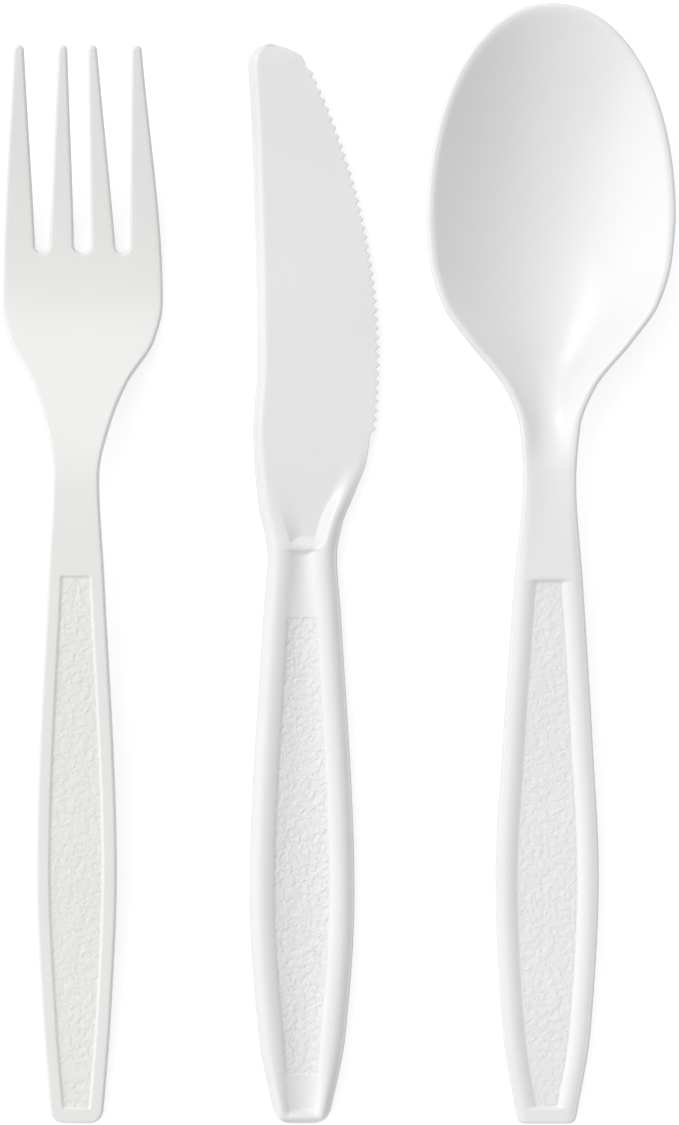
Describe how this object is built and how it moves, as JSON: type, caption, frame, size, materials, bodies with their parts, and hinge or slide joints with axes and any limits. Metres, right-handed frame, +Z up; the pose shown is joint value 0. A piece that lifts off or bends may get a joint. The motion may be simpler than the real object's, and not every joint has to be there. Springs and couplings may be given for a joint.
{
  "type": "plastic cutlery set",
  "caption": "White disposable plastic fork, saw-edged knife and oval spoon, lying side by side on a table.",
  "frame": {"origin": "on the table, under the middle of the box around the three pieces", "axes": "+Y along the pieces, from the handle ends to the tips; +Z up from the table; +X from the fork, past the knife, to the spoon"},
  "size_m": [0.1114, 0.185, 0.0124],
  "materials": {
    "fork_plastic": "glossy white moulding plastic, fine pebbled grain in the handle panel",
    "knife_plastic": "glossy white moulding plastic, coarser pebbled grain in the handle panel",
    "spoon_plastic": "glossy white moulding plastic, fine pebbled grain in the handle panel"
  },
  "bodies": {
    "root": {"fork": "fork_plastic", "knife": "knife_plastic", "spoon": "spoon_plastic"}
  },
  "joints": []
}
